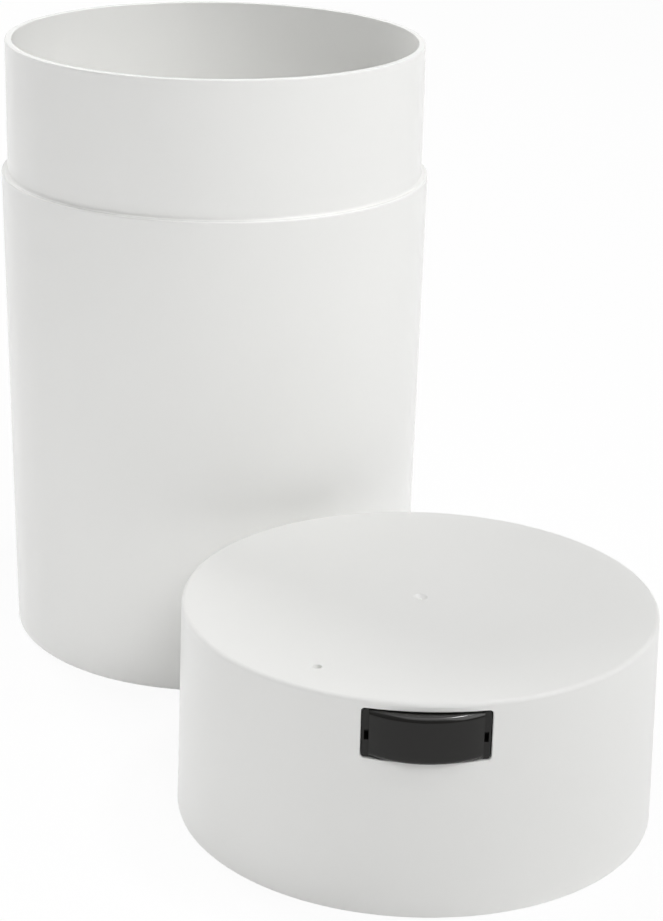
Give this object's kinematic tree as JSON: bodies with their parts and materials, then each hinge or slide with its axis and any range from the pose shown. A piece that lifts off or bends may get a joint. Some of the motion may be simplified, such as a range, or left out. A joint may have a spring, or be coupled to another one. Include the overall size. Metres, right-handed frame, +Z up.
{
  "type": "coffee canister with valve",
  "caption": "White food canister with a push-on cap standing beside it; a black button in the cap's side opens a sprung air valve.",
  "frame": {"origin": "centre of the canister's foot, on the surface that it stands on", "axes": "+Z up along the canister's axis; -Y is the side that the button faces, with the cap standing forward and to the right"},
  "size_m": [0.1777, 0.2385, 0.1728],
  "materials": {
    "canister_plastic": "glossy white moulding",
    "cap_plastic": "satin white moulding",
    "lid_plastic": "satin white moulding",
    "seal_silicone": "soft translucent white",
    "button_plastic": "semi-gloss black moulding",
    "valve_acetal": "natural acetal",
    "pad_silicone": "soft grey",
    "spring_steel": "drawn wire"
  },
  "bodies": {
    "canister": {"canister_body": "canister_plastic"},
    "cap": {"cap_shell": "cap_plastic", "inner_lid": "lid_plastic", "lip_seal": "seal_silicone", "valve_spring": "spring_steel", "return_spring_left": "spring_steel", "return_spring_right": "spring_steel"},
    "button": {"push_button": "button_plastic", "valve_slide": "valve_acetal"},
    "valve": {"valve_stem": "valve_acetal", "valve_pad": "pad_silicone"}
  },
  "joints": [
    {"name": "cap_lift", "type": "slide", "parent": "canister", "child": "cap", "axis": [0, 0, 1], "range_m": [0, 0.18]},
    {"name": "button_press", "type": "slide", "parent": "cap", "child": "button", "axis": [0, 1, 0], "range_m": [0, 0.003], "stiffness_N_per_m": 300, "springref_m": -0.003, "deforming": ["return_spring_left", "return_spring_right"]},
    {"name": "valve_lift", "type": "slide", "parent": "cap", "child": "valve", "axis": [0, 0, 1], "range_m": [0, 0.0015], "stiffness_N_per_m": 100, "springref_m": -0.002, "deforming": ["valve_spring"]}
  ],
  "couplings": [
    {"joint": "valve_lift", "follows": "button_press", "ratio": 0.5}
  ]
}
